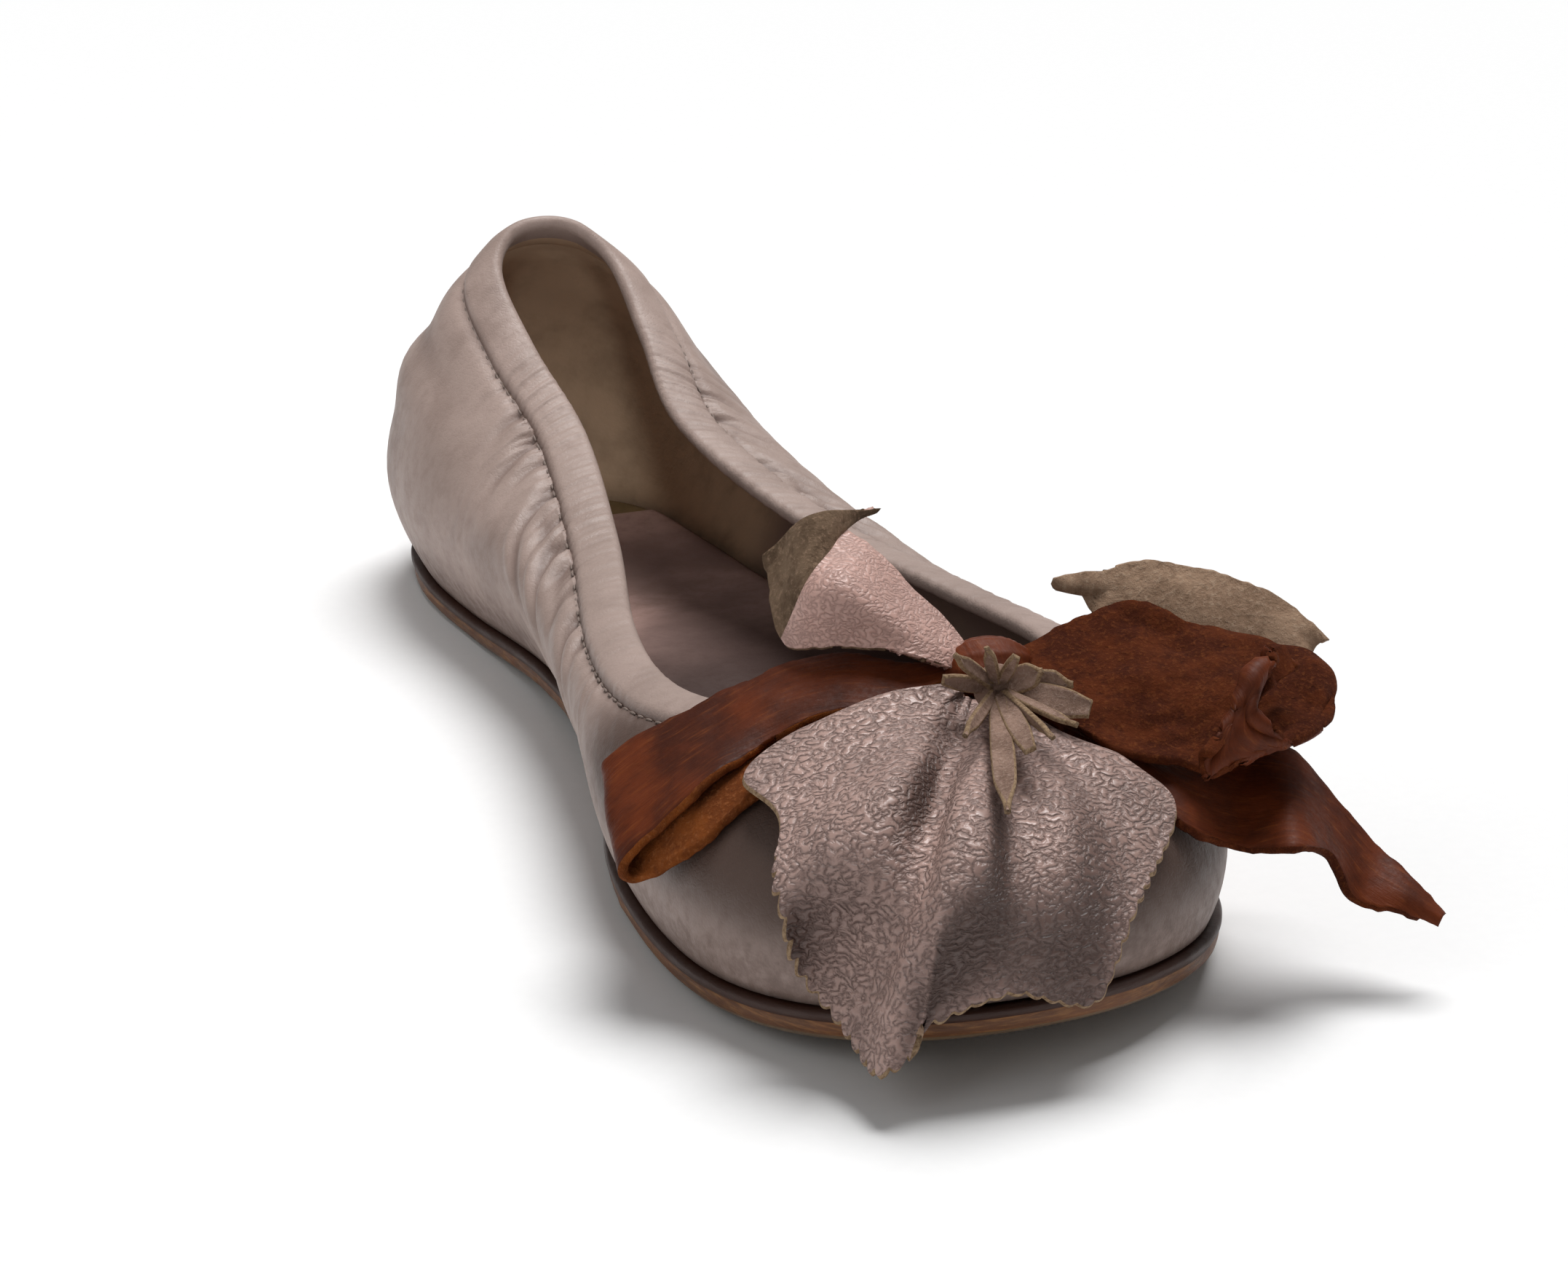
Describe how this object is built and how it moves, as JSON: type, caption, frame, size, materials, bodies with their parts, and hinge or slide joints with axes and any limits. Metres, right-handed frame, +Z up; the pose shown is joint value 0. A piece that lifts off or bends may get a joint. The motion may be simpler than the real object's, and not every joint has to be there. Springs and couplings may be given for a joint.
{
  "type": "ballet flat",
  "caption": "Slip-on flat shoe for a left foot: thin leather sole, soft hollow upper with a gathered topline, and a leather bow with leaf and petals on the vamp.",
  "frame": {"origin": "on the floor under the middle of the heel", "axes": "+Z up, toe towards -Y, inner side of the foot at -X"},
  "size_m": [0.1086, 0.253, 0.0653],
  "materials": {
    "sole_leather": "worn waxed edge",
    "sock_leather": "matt mauve",
    "lining_leather": "matt undyed",
    "upper_leather": "soft satin nappa",
    "ribbon_leather": "satin",
    "ribbon_suede": "napped suede",
    "pearl_leather": "pearly crackled",
    "pink_leather": "pebbled satin",
    "tan_suede": "napped suede",
    "stamen_leather": "matt"
  },
  "bodies": {
    "root": {"outsole": "sole_leather", "insole": "sock_leather", "heel_pad": "lining_leather", "upper": "upper_leather", "topline_casing": "upper_leather", "bow_knot": "ribbon_leather", "bow_loop_left": "ribbon_leather", "bow_loop_right": "ribbon_suede", "bow_tail_right": "ribbon_leather", "petal_front": "pearl_leather", "petal_bud": "pink_leather", "petal_right": "tan_suede", "stamens": "stamen_leather"}
  },
  "joints": []
}
